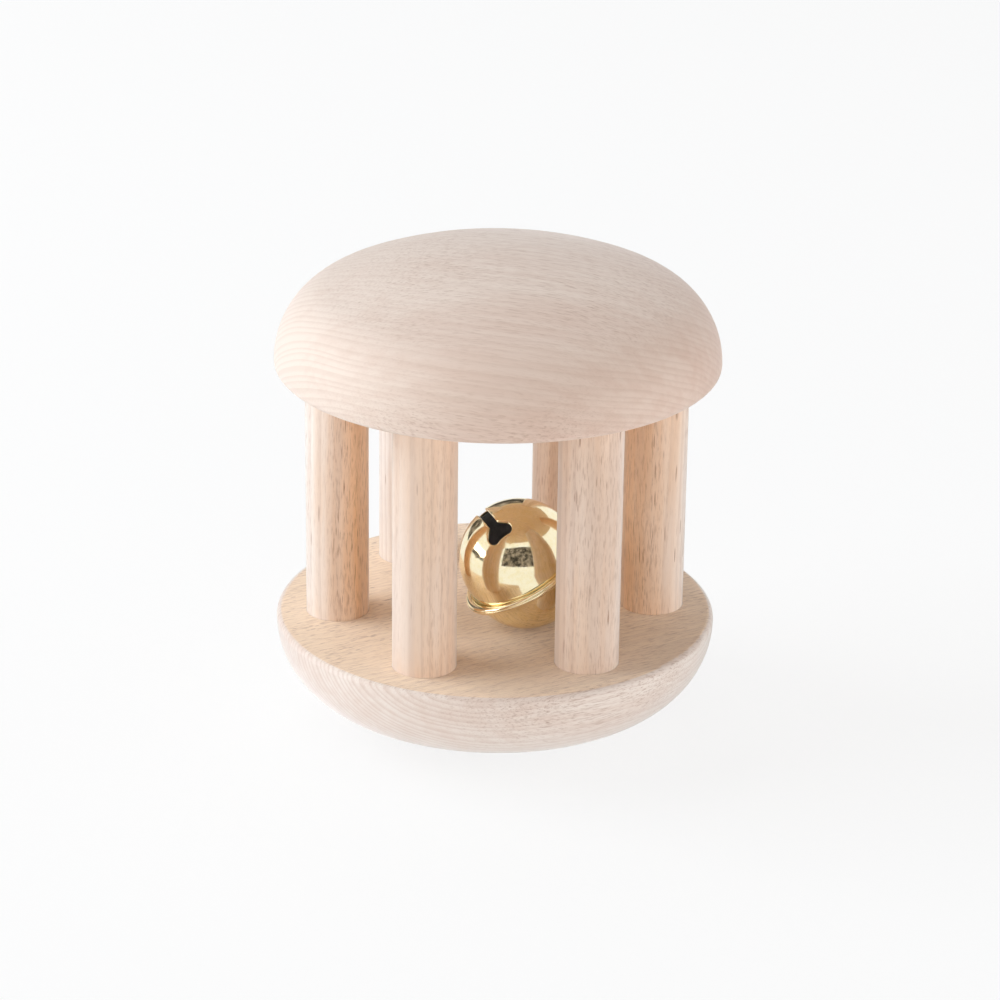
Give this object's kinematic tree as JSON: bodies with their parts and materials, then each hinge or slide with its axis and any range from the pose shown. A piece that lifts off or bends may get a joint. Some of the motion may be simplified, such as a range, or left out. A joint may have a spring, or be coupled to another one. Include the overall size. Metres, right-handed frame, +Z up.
{
  "type": "bell cage rattle",
  "caption": "Wooden grasping rattle: domed turned caps joined by a ring of dowels make a cage that traps a loose slotted brass pellet bell, which rings when shaken.",
  "frame": {"origin": "centre of the flat that the lower cap stands on", "axes": "+Z up along the axis of the caps, +X through the axis of dowel_1, +Y between dowel_2 and dowel_3"},
  "size_m": [0.07, 0.07, 0.078],
  "materials": {
    "cap_beech": "fine sanded, unfinished",
    "dowel_beech": "fine sanded, unfinished",
    "bell_brass": "polished",
    "pellet_steel": "plain ball"
  },
  "bodies": {
    "cage": {"upper_cap": "cap_beech", "lower_cap": "cap_beech", "dowel_1": "dowel_beech", "dowel_2": "dowel_beech", "dowel_3": "dowel_beech", "dowel_4": "dowel_beech", "dowel_5": "dowel_beech", "dowel_6": "dowel_beech"},
    "bell": {"bell_slotted_cup": "bell_brass", "bell_plain_cup": "bell_brass"},
    "pellet": {"bell_pellet": "pellet_steel"}
  },
  "joints": [
    {"name": "bell_bounce", "type": "slide", "parent": "cage", "child": "bell", "axis": [0, 0, 1], "range_m": [0, 0.0202]},
    {"name": "pellet_bounce", "type": "slide", "parent": "bell", "child": "pellet", "axis": [0, 0, 1], "range_m": [0, 0.0146]}
  ]
}
